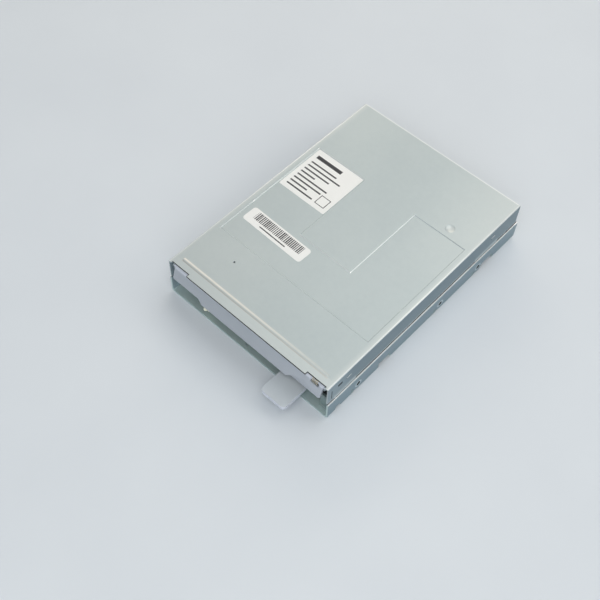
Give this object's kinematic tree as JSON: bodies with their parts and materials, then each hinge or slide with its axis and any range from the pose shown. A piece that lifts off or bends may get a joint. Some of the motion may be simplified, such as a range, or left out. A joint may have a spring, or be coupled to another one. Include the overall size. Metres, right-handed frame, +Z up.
{
  "type": "floppy disk drive",
  "caption": "Slim bezel-less floppy disk drive: folded steel case, sprung dust door, eject button, dropping disk carrier, spindle motor and stepped read heads.",
  "frame": {"origin": "middle of the lower front edge of the chassis", "axes": "+X to the right seen from the front, +Y from the front edge to the rear connectors, +Z up"},
  "size_m": [0.1016, 0.1555, 0.0254],
  "materials": {
    "chassis_steel": "zinc-plated sheet steel, satin",
    "cover_steel": "zinc-plated sheet steel, satin, fine rolling grain",
    "plate_steel": "plated sheet steel, plain",
    "pin_steel": "turned and ground steel",
    "spring_steel": "drawn spring wire",
    "spring_brass": "drawn brass-coloured spring wire",
    "bush_brass": "turned brass",
    "coil_copper": "enamelled copper winding",
    "core_iron": "stacked iron sheet",
    "magnet_ferrite": "bonded ferrite, dark grey",
    "arm_alloy": "bare aluminium alloy",
    "door_plastic": "moulded plastic, lavender grey, fine matte texture",
    "black_plastic": "moulded black plastic",
    "white_plastic": "moulded natural-white plastic",
    "head_ceramic": "polished ceramic slider",
    "board_laminate": "green solder mask on laminate",
    "capacitor_sleeve": "shrink sleeve, blue",
    "cable_film": "amber polymer film",
    "label_film": null,
    "lamp_lens": "clear moulded lens, pale green"
  },
  "bodies": {
    "base": {"chassis": "chassis_steel", "top_cover": "cover_steel", "rating_label": "label_film", "bar_label": "label_film", "door_spring": "spring_brass", "slide_guide_pins": "pin_steel", "left_slide_spring": "spring_steel", "right_slide_spring": "spring_steel", "carrier_guides": "plate_steel", "motor_board": "board_laminate", "spindle_bush": "bush_brass", "stator_core": "core_iron", "stator_coils": "coil_copper", "index_sensor": "black_plastic", "guide_rod": "pin_steel", "rod_clamps": "plate_steel", "stepper_motor": "plate_steel", "stepper_bracket": "plate_steel", "track_zero_sensor": "black_plastic", "main_board": "board_laminate", "board_chips": "black_plastic", "board_capacitors": "capacitor_sleeve", "data_connector": "black_plastic", "data_pins": "bush_brass", "power_connector": "white_plastic", "power_pins": "pin_steel", "head_cable_socket": "white_plastic", "head_cable": "cable_film", "sense_switches": "black_plastic", "status_led": "lamp_lens", "led_holder": "black_plastic", "board_screws": "pin_steel", "bracket_screws": "pin_steel"},
    "door": {"dust_door": "door_plastic"},
    "eject": {"eject_button": "door_plastic", "eject_slide": "plate_steel"},
    "carrier": {"disk_carrier": "plate_steel", "carrier_pins": "pin_steel", "lever_rivet": "pin_steel", "lever_spring": "spring_steel"},
    "lever": {"shutter_lever": "white_plastic"},
    "rotor": {"spindle_shaft": "pin_steel", "rotor_cup": "plate_steel", "rotor_magnet": "magnet_ferrite", "hub_disc": "plate_steel", "chuck_magnet": "magnet_ferrite", "drive_pin": "pin_steel"},
    "carriage": {"head_carriage": "black_plastic", "lower_head": "head_ceramic", "arm_pivot_pin": "pin_steel", "screw_follower": "white_plastic"},
    "arm": {"head_arm": "arm_alloy", "upper_head": "head_ceramic"},
    "screw": {"lead_screw": "pin_steel"},
    "write_protect": {"write_protect_plunger": "white_plastic"},
    "density": {"density_plunger": "white_plastic"},
    "disk_present": {"disk_plunger": "white_plastic"}
  },
  "joints": [
    {"name": "door_hinge", "type": "hinge", "parent": "base", "child": "door", "pos_m": [0, 0.0016, 0.0224], "axis": [1, 0, 0], "range_deg": [0, 100], "stiffness_Nm_per_rad": 0.0002, "springref_deg": -34.38, "deforming": ["door_spring"]},
    {"name": "eject_travel", "type": "slide", "parent": "base", "child": "eject", "axis": [0, -1, 0], "range_m": [0, 0.005], "deforming": ["left_slide_spring", "right_slide_spring"]},
    {"name": "carrier_drop", "type": "slide", "parent": "base", "child": "carrier", "axis": [0, 0, -1], "range_m": [0, 0.003]},
    {"name": "lever_swing", "type": "hinge", "parent": "carrier", "child": "lever", "pos_m": [0.04, 0.088, 0.0202], "axis": [0, 0, 1], "range_deg": [-46, 0], "stiffness_Nm_per_rad": 0.002, "springref_deg": 17.19, "deforming": ["lever_spring"]},
    {"name": "spindle_spin", "type": "hinge", "parent": "base", "child": "rotor", "pos_m": [0, 0.058, 0.008], "axis": [0, 0, 1], "continuous": true},
    {"name": "carriage_step", "type": "slide", "parent": "base", "child": "carriage", "axis": [0, -1, 0], "range_m": [0, 0.0148], "deforming": ["head_cable"]},
    {"name": "arm_lower", "type": "hinge", "parent": "carriage", "child": "arm", "pos_m": [0, 0.122, 0.0164], "axis": [1, 0, 0], "range_deg": [0, 15.5]},
    {"name": "screw_turn", "type": "hinge", "parent": "base", "child": "screw", "pos_m": [-0.016, 0.1, 0.009], "axis": [0, 1, 0], "range_deg": [0, 1422]},
    {"name": "write_protect_press", "type": "slide", "parent": "base", "child": "write_protect", "axis": [0, 0, -1], "range_m": [0, 0.0015], "stiffness_N_per_m": 20, "springref_m": -0.0005},
    {"name": "density_press", "type": "slide", "parent": "base", "child": "density", "axis": [0, 0, -1], "range_m": [0, 0.0015], "stiffness_N_per_m": 20, "springref_m": -0.0005},
    {"name": "disk_press", "type": "slide", "parent": "base", "child": "disk_present", "axis": [0, 0, -1], "range_m": [0, 0.0015], "stiffness_N_per_m": 20, "springref_m": -0.0005}
  ],
  "couplings": [
    {"joint": "carrier_drop", "follows": "eject_travel", "ratio": 0.6},
    {"joint": "arm_lower", "follows": "eject_travel", "rad_per_m": 54.1},
    {"joint": "screw_turn", "follows": "carriage_step", "rad_per_m": 1675.5}
  ]
}
